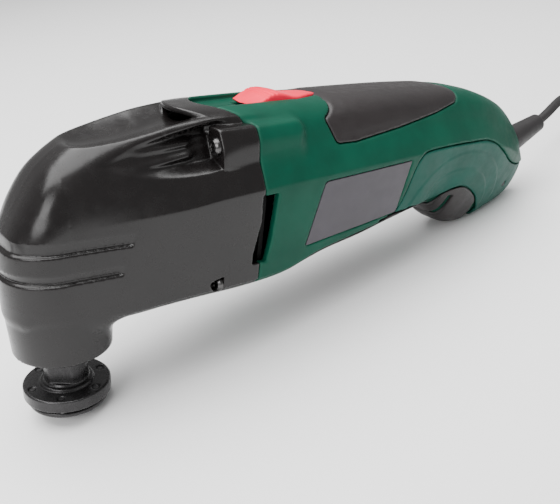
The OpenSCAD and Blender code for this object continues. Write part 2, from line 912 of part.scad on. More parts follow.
module swept_tube(p, r, rings, sides) {
    line = [for (i = [0:rings]) on_curve(p, i * (len(p) - 1) / rings)];
    vertices = [for (i = [0:rings])
        let (f = unit(line[min(i + 1, rings)] - line[max(i - 1, 0)]),
            s = unit(cross(f, [0, 0, 1])), w = cross(s, f))
        for (k = [0:sides - 1])
            let (a = (k + 0.5) * 360 / sides) line[i] + r * (cos(a) * s + sin(a) * w)];
    walls = [for (i = [0:rings - 1]) for (k = [0:sides - 1])
        let (k2 = (k + 1) % sides)
        [i * sides + k, i * sides + k2, (i + 1) * sides + k2, (i + 1) * sides + k]];
    first = [for (k = [sides - 1:-1:0]) k];
    last = [for (k = [0:sides - 1]) rings * sides + k];
    polyhedron(vertices, concat([first], walls, [last]));
}

module power_cord() {
    color(black) {
        swept_tube(cord_route, cord_r, 24, 8);
        swept_tube(plug_route, cord_r, 16, 8);
    }
}

module cord_coil() {
    color(black) translate([coil_at.x, coil_at.y, coil_floor])
        rotate_extrude() translate([coil_r - coil_w / 2, 0]) square([coil_w, coil_h]);
}

module coil_tie() {
    strap = 0.65;
    color(dark_steel) translate([coil_at.x - coil_r, coil_at.y, coil_floor + coil_h / 2])
        difference() {
            cube([coil_w + 1.6, 7, coil_h + 2 * strap], center = true);
            cube([coil_w + 0.2, 9, coil_h], center = true);
        }
}

module plug_body() {
    color(black) translate(plug_at) rotate([90, 0, 0]) {
        cylinder(h = relief_len, r1 = 3.8, r2 = 5.6);
        intersection() {
            translate([0, 0, relief_len - 2]) union() {
                cylinder(h = 12, r1 = 9, r2 = plug_r);
                translate([0, 0, 12]) cylinder(h = plug_len - 12, r = plug_r);
            }
            translate([-plug_r, -plug_half_t, 0]) cube([2 * plug_r, 2 * plug_half_t, 80]);
        }
    }
}

module plug_pins() {
    color(steel) translate(plug_at - [0, relief_len - 2 + plug_len, 0]) rotate([90, 0, 0])
        for (s = [-1, 1])
            translate([s * plug_pin_gap / 2, 0, 0]) cylinder(h = plug_pin_len, r = plug_pin_r);
}

head_shell();
gear_housing();
head_screws();
left_body_shell();
right_body_shell();
shell_screws();
top_grip();
lower_grip();
left_rear_cover();
right_rear_cover();
left_name_plate();
right_name_plate();
air_baffle();
stator_core();
field_coils();
rear_bearing_sleeve();
front_motor_bearing();
rear_motor_bearing();
brush_holders();
carbon_brushes();
brush_springs();
switch_module();
interference_capacitor();
inner_leads();
cord_clamp();
cord_clamp_screws();
lower_spindle_bearing();
upper_spindle_bearing();
spindle_seal();
switch_slider();
switch_link();
rotor_shaft();
armature_core();
armature_winding();
commutator();
cooling_fan();
counterweight();
eccentric_bearing();
spindle();
fork_arm();
accessory_flange();
drive_pins();
clamp_washer();
clamp_bolt();
cord_boot();
power_cord();
cord_coil();
coil_tie();
plug_body();
plug_pins();
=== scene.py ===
"""Looks of a corded oscillating multi tool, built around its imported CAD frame.

Housing pieces are made from smooth implicit shapes in the tool's own frame: millimetres, origin on
the spindle axis at the clamp bolt's lower face, X to the cord, Z up the spindle. A shape is a
function of x, y and z that gives about the distance to its surface, negative inside.
"""
import json
import math

import bpy
import numpy as np
from mathutils import Matrix, Vector


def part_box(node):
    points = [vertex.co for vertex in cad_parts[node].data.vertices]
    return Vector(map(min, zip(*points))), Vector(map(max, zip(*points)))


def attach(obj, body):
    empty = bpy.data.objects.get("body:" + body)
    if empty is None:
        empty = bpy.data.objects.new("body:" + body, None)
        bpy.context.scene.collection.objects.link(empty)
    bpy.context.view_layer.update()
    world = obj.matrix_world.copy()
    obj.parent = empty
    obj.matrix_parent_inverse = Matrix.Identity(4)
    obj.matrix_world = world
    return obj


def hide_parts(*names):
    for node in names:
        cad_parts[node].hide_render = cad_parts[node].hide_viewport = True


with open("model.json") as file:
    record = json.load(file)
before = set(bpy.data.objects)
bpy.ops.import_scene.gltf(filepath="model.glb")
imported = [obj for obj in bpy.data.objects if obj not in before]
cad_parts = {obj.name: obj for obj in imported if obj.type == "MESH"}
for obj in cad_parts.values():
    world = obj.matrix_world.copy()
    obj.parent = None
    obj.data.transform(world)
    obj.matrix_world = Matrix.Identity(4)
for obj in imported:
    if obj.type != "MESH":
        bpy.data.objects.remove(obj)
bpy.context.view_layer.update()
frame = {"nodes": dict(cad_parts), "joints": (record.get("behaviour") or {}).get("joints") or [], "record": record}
MM = 0.001

# ---- the tool's own frame, from its joints ----------------------------------
joints = {j["name"]: j for j in frame["joints"]}
TOOL_UP = Vector(joints["spindle_swing"]["axis"])
TOOL_BACK = Vector(joints["rotor_spin"]["axis"])
TOOL_SIDE = TOOL_UP.cross(TOOL_BACK)
TOOL_ORIGIN = Vector(joints["spindle_swing"]["pos_m"])
MOTOR_Z = (Vector(joints["rotor_spin"]["pos_m"]) - TOOL_ORIGIN).dot(TOOL_UP) / MM


def tool_matrix():
    """From millimetres in the tool's frame to metres in the row frame."""
    m = Matrix.Identity(4)
    for column, axis in enumerate((TOOL_BACK, TOOL_SIDE, TOOL_UP)):
        for row in range(3):
            m[row][column] = axis[row] * MM
    m.translation = TOOL_ORIGIN
    return m


TO_ROW = tool_matrix()

# ---- camera -----------------------------------------------------------------
CAMERA_AT = (-79.98, -244.31, 174.0)
CAMERA_AZIMUTH = math.radians(-37.135)
CAMERA_ELEVATION = math.radians(23.326)
CAMERA_ROLL = math.radians(-1.517)
CAMERA_LENS = 46.24


def make_camera():
    """The camera, placed in the tool's frame and tipped with it."""
    a, e, roll = CAMERA_AZIMUTH, CAMERA_ELEVATION, CAMERA_ROLL
    back = Vector((math.sin(a) * math.cos(e), -math.cos(a) * math.cos(e), math.sin(e)))
    level = (-back).cross(Vector((0, 0, 1))).normalized()
    down = (-back).cross(level)
    right = math.cos(roll) * level + math.sin(roll) * down
    up = back.cross(right)
    data = bpy.data.cameras.new("camera")
    data.lens = CAMERA_LENS
    data.clip_start = 0.01
    camera = bpy.data.objects.new("camera", data)
    bpy.context.scene.collection.objects.link(camera)
    turn = Matrix((right, up, back)).transposed()
    tip = Matrix((TOOL_BACK, TOOL_SIDE, TOOL_UP)).transposed()
    camera.matrix_world = Matrix.Translation(TO_ROW @ Vector(CAMERA_AT)) @ (tip @ turn).to_4x4()
    bpy.context.scene.camera = camera


make_camera()


# ---- materials ----------------------------------------------------------------
def new_material(name, color, roughness, metallic=0.0, **sockets):
    """A material and its shader node."""
    m = bpy.data.materials.new(name)
    m.use_nodes = True
    shader = m.node_tree.nodes["Principled BSDF"]
    shader.inputs["Base Color"].default_value = (*color, 1)
    shader.inputs["Roughness"].default_value = roughness
    shader.inputs["Metallic"].default_value = metallic
    for socket, value in sockets.items():
        shader.inputs[socket.replace("_", " ")].default_value = value
    return m, shader


def noise(m, scale, detail, rough=0.5, stretch=(1, 1, 1)):
    """Noise in object space; scale is in features to the metre."""
    tree = m.node_tree
    place = tree.nodes.new("ShaderNodeTexCoord")
    mapping = tree.nodes.new("ShaderNodeMapping")
    mapping.inputs["Scale"].default_value = stretch
    texture = tree.nodes.new("ShaderNodeTexNoise")
    texture.inputs["Scale"].default_value = scale
    texture.inputs["Detail"].default_value = detail
    texture.inputs["Roughness"].default_value = rough
    tree.links.new(place.outputs["Object"], mapping.inputs["Vector"])
    tree.links.new(mapping.outputs["Vector"], texture.inputs["Vector"])
    return texture.outputs["Fac"]


def ramp(m, source, low, high, at=(0.35, 0.65)):
    """Spreads a grey source between two grey levels or two colours."""
    node = m.node_tree.nodes.new("ShaderNodeValToRGB")
    for element, place, value in zip(node.color_ramp.elements, at, (low, high)):
        element.position = place
        element.color = (*value, 1) if hasattr(value, "__len__") else (value, value, value, 1)
    m.node_tree.links.new(source, node.inputs["Fac"])
    return node.outputs["Color"]


def bump(m, shader, source, strength, depth):
    """Adds fine relief to a shader, on top of any that it already has."""
    node = m.node_tree.nodes.new("ShaderNodeBump")
    node.inputs["Strength"].default_value = strength
    node.inputs["Distance"].default_value = depth
    m.node_tree.links.new(source, node.inputs["Height"])
    previous = shader.inputs["Normal"].links
    if previous:
        m.node_tree.links.new(previous[0].from_socket, node.inputs["Normal"])
    m.node_tree.links.new(node.outputs["Normal"], shader.inputs["Normal"])


def painted_edge_highlight(m, shader, base, highlight_color, amount):
    """Painted highlight: mixes a lighter colour in where the surface's own edges are convex, as if they caught the
    light.
    """
    tree = m.node_tree
    geometry = tree.nodes.new("ShaderNodeNewGeometry")
    # mask of the painted highlight: the convex edges
    shape = ramp(m, geometry.outputs["Pointiness"], 0.0, amount, (0.52, 0.60))
    mix = tree.nodes.new("ShaderNodeMix")
    mix.data_type = "RGBA"
    tree.links.new(shape, mix.inputs["Factor"])
    tree.links.new(base, mix.inputs["A"])
    mix.inputs["B"].default_value = (*highlight_color, 1)
    tree.links.new(mix.outputs["Result"], shader.inputs["Base Color"])


def plastic(name, color, low_rough, high_rough, grain, grain_depth, spread=0.12, **sockets):
    """Moulded plastic: slight colour variation, uneven gloss and a fine moulded grain."""
    m, shader = new_material(name, color, low_rough, **sockets)
    darker = tuple(c * (1 - spread) for c in color)
    lighter = tuple(min(1, c * (1 + spread)) for c in color)
    tint = ramp(m, noise(m, 60, 4), darker, lighter)
    # lighter convex edges: a painted highlight
    painted_edge_highlight(m, shader, tint, tuple(min(1, c * 1.5 + 0.02) for c in color), amount=0.35)
    gloss = ramp(m, noise(m, 220, 5, 0.6), low_rough, high_rough)
    m.node_tree.links.new(gloss, shader.inputs["Roughness"])
    bump(m, shader, noise(m, grain, 2, 0.6), 0.5, grain_depth)
    return m


def metal(name, color, low_rough, high_rough, stretch=(1, 1, 1), depth=0.00002, metallic=1.0):
    """Metal with fine tool marks and uneven gloss."""
    m, shader = new_material(name, color, low_rough, metallic)
    darker = tuple(c * 0.8 for c in color)
    tint = ramp(m, noise(m, 350, 4), darker, color)
    # lighter convex edges: a painted highlight
    painted_edge_highlight(m, shader, tint, tuple(min(1, c * 1.6 + 0.05) for c in color), amount=0.5)
    gloss = ramp(m, noise(m, 900, 4, 0.6, stretch), low_rough, high_rough)
    m.node_tree.links.new(gloss, shader.inputs["Roughness"])
    bump(m, shader, noise(m, 1600, 3, 0.6, stretch), 0.35, depth)
    return m


MATERIALS = {
    "head_black": plastic("head_black", (0.0062, 0.0052, 0.0052), 0.2, 0.3, 2500, 0.00001,
        Specular_IOR_Level=0.34),
    "body_green": plastic("body_green", (0.0, 0.052, 0.030), 0.40, 0.5, 3800, 0.00003,
        Specular_IOR_Level=0.14),
    "cover_green": plastic("cover_green", (0.0, 0.056, 0.039), 0.44, 0.54, 3800, 0.00004,
        Specular_IOR_Level=0.17),
    "grip_rubber": plastic("grip_rubber", (0.010, 0.0072, 0.0075), 0.42, 0.55, 2600, 0.00008,
        Specular_IOR_Level=0.45),
    "plate_plastic": plastic("plate_plastic", (0.022, 0.017, 0.026), 0.34, 0.44, 3000, 0.00001),
    "switch_red": plastic("switch_red", (0.85, 0.010, 0.050), 0.35, 0.45, 2400, 0.00002,
        Specular_IOR_Level=0.15),
    "black_plastic": plastic("black_plastic", (0.02, 0.02, 0.021), 0.4, 0.55, 2600, 0.00004),
    "natural_plastic": plastic("natural_plastic", (0.60, 0.55, 0.42), 0.4, 0.5, 2600, 0.00003),
    # near-black and barely reflecting: painted shade for what shows inside the vent slots
    "vent_painted_shade": plastic("vent_painted_shade", (0.002, 0.002, 0.002), 0.6, 0.75, 2600, 0.00004,
        Specular_IOR_Level=0.05),
    "cord_rubber": plastic("cord_rubber", (0.012, 0.0105, 0.011), 0.45, 0.58, 3000, 0.00004),
    "film_yellow": plastic("film_yellow", (0.62, 0.43, 0.08), 0.3, 0.4, 1800, 0.00004),
    "lead_blue": plastic("lead_blue", (0.06, 0.14, 0.4), 0.35, 0.45, 2400, 0.00003),
    "carbon": plastic("carbon", (0.03, 0.03, 0.031), 0.55, 0.7, 3200, 0.00005),
    "cast_alloy": metal("cast_alloy", (0.16, 0.16, 0.17), 0.4, 0.6, depth=0.00008),
    "dark_steel": metal("dark_steel", (0.030, 0.029, 0.030), 0.22, 0.36, metallic=0.6),
    "bright_steel": metal("bright_steel", (0.42, 0.42, 0.43), 0.18, 0.3, (1, 1, 8)),
    "screw_steel": metal("screw_steel", (0.09, 0.088, 0.088), 0.22, 0.34),
    "lamination": metal("lamination", (0.3, 0.31, 0.33), 0.35, 0.5, (12, 1, 1), 0.0001),
    "copper_wire": metal("copper_wire", (0.62, 0.26, 0.1), 0.25, 0.38, (1, 9, 1), 0.0001),
    "pin_metal": metal("pin_metal", (0.7, 0.68, 0.62), 0.12, 0.22, (6, 1, 1)),
}
SLOT_MATERIAL = {p["node"]: p["material_slot"] for p in frame["record"]["subparts"]}


def paint(o, material):
    o.data.materials.clear()
    o.data.materials.append(MATERIALS[material])


for node_name, node_object in frame["nodes"].items():
    # the fan and the baffle take that near-black colour: painted shade seen through the vent slots
    look = "vent_painted_shade" if node_name in ("cooling_fan", "air_baffle") else SLOT_MATERIAL[node_name]
    paint(node_object, "dark_steel" if node_name == "drive_pins" else look)


# ---- pieces -------------------------------------------------------------------
def add_piece(name, mesh, body, slot, *replaced, material=None):
    """Puts a mesh in the scene on a CAD body, in place of CAD nodes."""
    o = bpy.data.objects.new(name, mesh)
    bpy.context.scene.collection.objects.link(o)
    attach(o, body)
    paint(o, material or slot)
    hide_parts(*replaced)
    return o


# ---- cord ---------------------------------------------------------------------
CORD_D = 0.0055
coil_low, coil_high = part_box("cord_coil")
COIL_X = (coil_low.x + coil_high.x) / 2
COIL_Y = (coil_low.y + coil_high.y) / 2
COIL_OUTER = (coil_high.x - coil_low.x) / 2 - CORD_D / 2
COIL_TURNS = 4
COIL_INNER = COIL_OUTER - COIL_TURNS * CORD_D
LOWER_Z = coil_low.z + CORD_D / 2
UPPER_Z = LOWER_Z + CORD_D
RISE_SHARE = 0.3
PLUG_BEND = 0.020
RISE_ANGLE = math.radians(50)
plug_low, plug_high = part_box("plug_body")
PLUG_Z = (plug_low.z + plug_high.z) / 2
# From the strain relief's end to the start of the coil, in metres: the route of part.scad.
CORD_ROUTE = [
    [0.1688, 0, 0.0336], [0.1748, 0.0006, 0.0347], [0.1808, 0.0016, 0.0357], [0.1878, 0.0032, 0.0367],
    [0.1948, 0.0052, 0.0371], [0.2018, 0.0076, 0.0366], [0.2088, 0.0102, 0.0349],
    [0.2158, 0.0129, 0.0319], [0.2219, 0.0154, 0.0280], [0.2279, 0.0180, 0.0232],
    [0.2340, 0.0206, 0.0176], [0.2400, 0.0231, 0.0122], [0.2460, 0.0254, 0.0080],
    [0.2520, 0.0275, 0.0052], [0.2580, 0.0292, 0.0040], [0.264, 0.0304, LOWER_Z]]


def coil_points(per_turn=30):
    """Clockwise from the cord's arrival: in on the bottom layer, up, out on the top layer, and off."""
    points = []
    turns = 2 * COIL_TURNS + 1
    leave = turns - RISE_ANGLE / (2 * math.pi)
    bend_share = (math.pi / 2 * PLUG_BEND) / (math.pi / 2 * PLUG_BEND + RISE_ANGLE * COIL_OUTER)
    for i in range(turns * per_turn + 1):
        turn = i / per_turn
        if turn <= COIL_TURNS:
            r, z = COIL_OUTER - CORD_D * turn, LOWER_Z
        elif turn <= COIL_TURNS + 1:
            t = min(1.0, (turn - COIL_TURNS) / RISE_SHARE)
            r, z = COIL_INNER, LOWER_Z + CORD_D * t * t * (3 - 2 * t)
        else:
            r, z = COIL_INNER + CORD_D * (turn - COIL_TURNS - 1), UPPER_Z
        if turn > leave:
            z = risen((turn - leave) / (turns - leave) * (1 - bend_share))
        a = math.pi / 2 - 2 * math.pi * turn
        points.append([COIL_X + r * math.cos(a), COIL_Y + r * math.sin(a), z])
    for i in range(1, 9):
        a = math.pi / 2 * (1 - i / 8)
        points.append([COIL_X + PLUG_BEND * math.cos(a), COIL_Y + COIL_OUTER - PLUG_BEND * (1 - math.sin(a)),
                       risen(1 - bend_share * (1 - i / 8))])
    return points


def risen(t):
    """Height of the cord on its way from the coil's top layer up to the plug."""
    return UPPER_Z + (PLUG_Z - UPPER_Z) * t * t * (3 - 2 * t)


def smooth_through(points, per=4):
    """Catmull-Rom line through the points."""
    p = [Vector(q) for q in points]
    out = []
    for i in range(len(p) - 1):
        a, b, c, d = p[max(i - 1, 0)], p[i], p[i + 1], p[min(i + 2, len(p) - 1)]
        for k in range(per):
            t = k / per
            out.append(0.5 * (2 * b + (c - a) * t + (2 * a - 5 * b + 4 * c - d) * t * t
                              + (3 * b - a - 3 * c + d) * t ** 3))
    return out + [p[-1]]


def make_cord():
    """The cord as one open curve, and its length."""
    line = smooth_through(CORD_ROUTE) + [Vector(p) for p in coil_points()]
    data = bpy.data.curves.new("power_cord_line", "CURVE")
    data.dimensions = "3D"
    data.bevel_depth = CORD_D / 2
    data.bevel_resolution = 4
    data.use_fill_caps = True
    spline = data.splines.new("POLY")
    spline.points.add(len(line) - 1)
    for point, p in zip(spline.points, line):
        point.co = (*p, 1)
    spline.use_smooth = True
    o = add_piece("power_cord_line", data, "root", "cord_rubber", "power_cord", "cord_coil")
    length = sum((b - a).length for a, b in zip(line, line[1:]))
    return o, length


cord, cord_length = make_cord()
print("CORD LENGTH", round(cord_length, 4))


# ---- implicit shapes ------------------------------------------------------------
def curve(points, per=8):
    """Smooth line through the points; a point given twice stays a corner."""
    p = np.array(points, float)
    last = len(p) - 1
    out = [p[0]]
    for i in range(last):
        a, b, c, d = p[max(i - 1, 0)], p[i], p[i + 1], p[min(i + 2, last)]
        if np.allclose(b, c):
            continue
        if i == 0 or np.allclose(a, b):
            a = 2 * b - c
        if i == last - 1 or np.allclose(c, d):
            d = 2 * c - b
        for k in range(1, per + 1):
            t = k / per
            out.append(0.5 * (2 * b + (c - a) * t + (2 * a - 5 * b + 4 * c - d) * t * t
                              + (3 * b - a - 3 * c + d) * t ** 3))
    return np.array(out)


def line(points):
    """A smooth height over x, as a function."""
    c = curve(points, 12)
    return lambda x: np.interp(x, c[:, 0], c[:, 1]).astype(np.float32)


class Outline:
    """Distance to a closed outline, negative inside, kept on a fine grid."""

    def __init__(self, points, step, margin):
        p = np.asarray(points, float)
        self.low = p.min(0) - margin
        self.step = step
        n = np.ceil((p.max(0) + margin - self.low) / step).astype(int) + 1
        u = (self.low[0] + step * np.arange(n[0])).astype(np.float32)[:, None]
        v = (self.low[1] + step * np.arange(n[1])).astype(np.float32)[None, :]
        best = np.full(n, 1e9, np.float32)
        inside = np.zeros(n, bool)
        for (a0, a1), (b0, b1) in zip(p.astype(np.float32), np.roll(p, -1, 0).astype(np.float32)):
            d0, d1 = b0 - a0, b1 - a1
            length = d0 * d0 + d1 * d1
            if length < 1e-9:
                continue
            t = np.clip(((u - a0) * d0 + (v - a1) * d1) / length, 0, 1)
            best = np.minimum(best, (u - a0 - t * d0) ** 2 + (v - a1 - t * d1) ** 2)
            if d1 != 0:
                inside ^= ((a1 > v) != (b1 > v)) & (u < a0 + (v - a1) * d0 / d1)
        self.table = np.sqrt(best) * np.where(inside, -1, 1).astype(np.float32)

    def __call__(self, u, v):
        a = (u - self.low[0]) / self.step
        b = (v - self.low[1]) / self.step
        m, n = self.table.shape
        ac = np.clip(a, 0, m - 1.001)
        bc = np.clip(b, 0, n - 1.001)
        i = ac.astype(np.int32)
        j = bc.astype(np.int32)
        s = (ac - i).astype(np.float32)
        t = (bc - j).astype(np.float32)
        table = self.table
        near = table[i, j] * (1 - s) + table[i + 1, j] * s
        far = table[i, j + 1] * (1 - s) + table[i + 1, j + 1] * s
        outside = self.step * np.hypot(a - ac, b - bc).astype(np.float32)
        return near * (1 - t) + far * t + outside


def both(a, b, k):
    """Intersection with an edge rounded over about k."""
    h = np.maximum(k - np.abs(a - b), 0) / k
    return np.maximum(a, b) + h * h * k * 0.25


def join(a, b, k):
    """Union with its inner corner filled over about k."""
    return -both(-a, -b, k)


def less(a, cutter, k):
    """A shape with a cutter taken away."""
    return both(a, -cutter, k)


def eased(t):
    """Smooth step from 0 to 1."""
    t = np.clip(t, 0, 1)
    return t * t * (3 - 2 * t)


def cone(x, y, z, start, end, r0, r1):
    """Distance to a round-ended cone between two points."""
    a, b = np.array(start, np.float32), np.array(end, np.float32)
    d = b - a
    t = np.clip(((x - a[0]) * d[0] + (y - a[1]) * d[1] + (z - a[2]) * d[2]) / float(d @ d), 0, 1)
    away = np.sqrt((x - a[0] - t * d[0]) ** 2 + (y - a[1] - t * d[1]) ** 2 + (z - a[2] - t * d[2]) ** 2)
    return away - r0 - (r1 - r0) * t


def box(x, y, z, low, high):
    """About the distance to a box between two corners."""
    a = np.maximum(low[0] - x, x - high[0])
    b = np.maximum(low[1] - y, y - high[1])
    c = np.maximum(low[2] - z, z - high[2])
    return np.maximum(np.maximum(a, b), c)


def mesh_of(name, shape, low, high, step, turn=None):
    """Mesh of a shape by surface nets, with its points moved onto the surface.

    Low and high bound it in the shape's own millimetres; turn goes to the row frame.
    """
    step = step * 1.0
    axes = [np.arange(low[i] - 1.5 * step, high[i] + 1.6 * step, step, dtype=np.float32) for i in range(3)]
    size = [len(a) for a in axes]
    grid = (axes[0][:, None, None], axes[1][None, :, None], axes[2][None, None, :])
    value = np.broadcast_to(shape(*grid), size).astype(np.float32)
    cells = [n - 1 for n in size]
    owners, places, quads = [], [], []
    for axis in range(3):
        first = [slice(None)] * 3
        second = [slice(None)] * 3
        first[axis] = slice(0, size[axis] - 1)
        second[axis] = slice(1, size[axis])
        a, b = value[tuple(first)], value[tuple(second)]
        edge = np.argwhere((a < 0) != (b < 0))
        va, vb = a[tuple(edge.T)], b[tuple(edge.T)]
        place = edge.astype(np.float32)
        place[:, axis] += va / (va - vb)
        u, v = (axis + 1) % 3, (axis + 2) % 3
        ring = []
        for du, dv in ((0, 0), (1, 0), (1, 1), (0, 1)):
            cell = edge.copy()
            cell[:, u] -= du
            cell[:, v] -= dv
            ring.append(np.clip(cell, 0, np.array(cells) - 1) @ [cells[1] * cells[2], cells[2], 1])
        ring = np.array(ring).T
        flip = va >= 0
        ring[flip] = ring[flip][:, ::-1]
        quads.append(ring)
        owners.append(ring.ravel())
        places.append(np.repeat(place, 4, axis=0))
    ids, index = np.unique(np.concatenate(owners), return_inverse=True)
    places = np.concatenate(places)
    count = np.bincount(index)
    points = np.stack([np.bincount(index, places[:, k]) / count for k in range(3)], 1)
    points = points * step + [a[0] for a in axes]
    faces = np.searchsorted(ids, np.concatenate(quads))
    start = points.copy()
    reach = 0.75 * step
    h = 0.08
    for _ in range(3):
        x, y, z = (points[:, k].astype(np.float32) for k in range(3))
        f = shape(x, y, z)
        slope = np.stack([shape(x + h, y, z) - f, shape(x, y + h, z) - f, shape(x, y, z + h) - f], 1) / h
        square = np.maximum((slope ** 2).sum(1), 0.09)
        move = -(f / square)[:, None] * slope
        points = start + np.clip(points + move - start, -reach, reach)
    mesh = bpy.data.meshes.new(name)
    mesh.vertices.add(len(points))
    mesh.vertices.foreach_set("co", points.astype(np.float32).ravel())
    mesh.loops.add(faces.size)
    mesh.loops.foreach_set("vertex_index", faces.ravel().astype(np.int32))
    mesh.polygons.add(len(faces))
    mesh.polygons.foreach_set("loop_start", np.arange(0, faces.size, 4, dtype=np.int32))
    mesh.polygons.foreach_set("use_smooth", np.ones(len(faces), bool))
    mesh.update(calc_edges=True)
    mesh.validate()
    mesh.transform(turn or TO_ROW)
    return mesh


# ---- the housing's outer surface --------------------------------------------------
SEAM_X = 73.0
HEAD_WALL = 2.6
BODY_WALL = 3.3
HOOD_WALL = 2.1
SCOOP_WALL = 2.4
BOSS_RISE = 3.2
PLATE_RECESS = 0.75
SKIN_RECESS = 1.7
HALF_W = 33.0
TOP_Z = 117.2
LOW_Z = 42.5
CREASE_Z = 87.0
NOSE_R = 20.6
NECK_R = 18.9
NECK_LOW_Z = 28.3
NECK_TOP_Z = 52
NECK_TAPER = 0.066
NOSE_TIP_HALF = 12.0
TAIL_X = 273.2

top_line = line([(-21.5, 66), (-20.3, 72), (-16.9, 79.5), (-10, 91.3), (-1, 102), (14.3, 110.7),
    (34, 115.2), (55, 116.1), (73, 116.0), (96, 115.5), (112, 114.6), (128, 114), (143.6, 113.6),
    (175, 112.5), (203.6, 110.4), (220, 106.6), (235.5, 100.4), (246, 93.5), (256, 85), (264, 78),
    (270, 71), (273, 64)])
low_line = line([(-21.5, 44), (-8, 44), (15, 41.5), (34, 42), (50, 42.5), (73, 42.7), (88, 43.7), (99, 46.6),
    (111, 49.3), (131, 52), (147, 55), (168, 58), (180, 57), (190, 52), (198, 44.5), (206, 38.6),
    (215, 36.4), (226, 36.4), (240, 38.6), (255, 41.4), (264, 44.6), (270, 49.5), (273, 58)])
crease_line = line([(-21.5, 60), (-12, 74), (0, 79.8), (10, 81.5), (40, 84), (73, 87), (165, 87.8),
    (205, 86), (230, 80), (250, 72), (273, 61)])
flare = line([(0, 20.6), (14, 23.3), (30, 27.2), (50, 30.8), (73, 33), (120, 32.7), (165, 31.2),
    (200, 28.6), (225, 25.4), (240, 21.9), (254, 17), (264, 12), (270, 7.5), (272.4, 4.2), (273.2, 0.6)])


def section(points):
    half = curve(points)
    return Outline(np.vstack([half, half[::-1] * [-1, 1]]), 0.3, 22)


UPPER_HALF = [(HALF_W, CREASE_Z), (HALF_W, CREASE_Z), (30.4, 93.5), (27, 100.5), (24.6, 106.5),
    (21.6, 111.6), (16.5, 115.3), (9, 116.9), (0, TOP_Z)]
main_section = section([(0, LOW_Z), (16, LOW_Z), (22.5, 43.4), (27.4, 47), (29, 52)] + UPPER_HALF)
tail_section = section([(0, LOW_Z), (6, 42.6), (11, 44), (17, 49.5), (23.5, 60), (29.5, 74)] + UPPER_HALF)
nose_section = section([(0, LOW_Z), (16, LOW_Z), (24.5, 42.7), (31, 46), (32.6, 52), (33, 70), (33, 85),
    (32.2, 93), (30.2, 100), (26.8, 107), (21, 112.8), (12, 116.3), (0, TOP_Z)])


def tip_round(x):
    """Rounding between the dome and the upright nose, only at its very front."""
    return 0.1 + 3.4 * eased((-14 - x) / 5)


def raw_skin(x, y, z):
    nose = np.sqrt(np.maximum(NOSE_R ** 2 - np.minimum(x, 0) ** 2, NOSE_TIP_HALF ** 2)) + 1.2 * tip_round(x)
    width = np.maximum(np.where(x < 0, nose, flare(np.maximum(x, 0))), 0.5)
    crease = crease_line(x)
    top = np.maximum(top_line(x), crease + 0.4)
    low = np.minimum(low_line(x), crease - 0.4)
    v = y * (HALF_W / width)
    above = CREASE_Z + (z - crease) * (TOP_Z - CREASE_Z) / (top - crease)
    below = CREASE_Z + (z - crease) * (CREASE_Z - LOW_Z) / (crease - low)
    h = np.where(z > crease, above, below)
    front = 1 - eased((x + 4) / 50)
    rear = eased((x - 165) / 30)
    return (main_section(v, h) * (1 - front) * (1 - rear) + nose_section(v, h) * front
            + tail_section(v, h) * rear)


def skin(x, y, z):
    """About the distance to the bare housing's surface."""
    e = np.float32(0.4)
    f = raw_skin(x, y, z)
    gx = (raw_skin(x + e, y, z) - f) / e
    gy = (raw_skin(x, y + e, z) - f) / e
    gz = (raw_skin(x, y, z + e) - f) / e
    d = f / np.maximum(np.sqrt(gx * gx + gy * gy + gz * gz), 0.25)
    tip = np.hypot(np.minimum(x, 0), y) - NOSE_R - np.maximum(x, 0)
    d = both(d, tip, tip_round(x))
    d = np.maximum(d, x - TAIL_X)
    neck = np.hypot(x, y) - NECK_R - (z - NECK_LOW_Z) * NECK_TAPER
    neck = np.maximum(neck, np.maximum(NECK_LOW_Z - z, z - NECK_TOP_Z))
    return join(d, neck, 0.3 + (1.3 + 7.0 * eased((x + 2) / 16)) * eased((51 - z) / 9))


def seam_at(y, z):
    """Where the head ends: flat on the sides, arched forward over the top."""
    arch = 1 - np.minimum(np.abs(y) / 22, 1) ** 1.6
    return SEAM_X - 12.5 * arch * eased((z - 103) / 8)


RAIL = (23.2, 104.0)
RAIL_END = 91.5
LOWER_BOSS = (23.8, 48.6)
SCREW_X = 57.0


def boss(x, y, z, x0, x1):
    """Screw boss on each side: round on top, with a flat side, round at its rear end."""
    side = np.abs(y)
    past = np.maximum(np.maximum(x - x1, x0 - x), 0)
    across = np.hypot(np.maximum(side - 23.2, 0), np.maximum(z - 105.2, 0)) - 5.3
    across = np.maximum(across, np.maximum(17 - side, 96 - z))
    return np.where(past > 0, np.hypot(np.maximum(across + 5.3, 0), past) - 5.3, across)


pocket_outline = Outline(curve([(10.5, 101.2), (10.5, 101.2), (14, 103.4), (18.8, 105.4), (28.3, 108.6),
    (42.2, 111.2), (55.7, 112.8), (67, 113.4), (80, 113.0), (92, 111.6), (100, 109.5), (103, 105),
    (100, 101), (90, 99), (72.3, 98.0), (59.8, 96.6), (48.7, 95.0), (32.6, 95.1), (18.8, 98), (13, 100),
    (10.5, 101.2)], 5), 0.25, 6)


FLUTE_WIDTH = 1.5


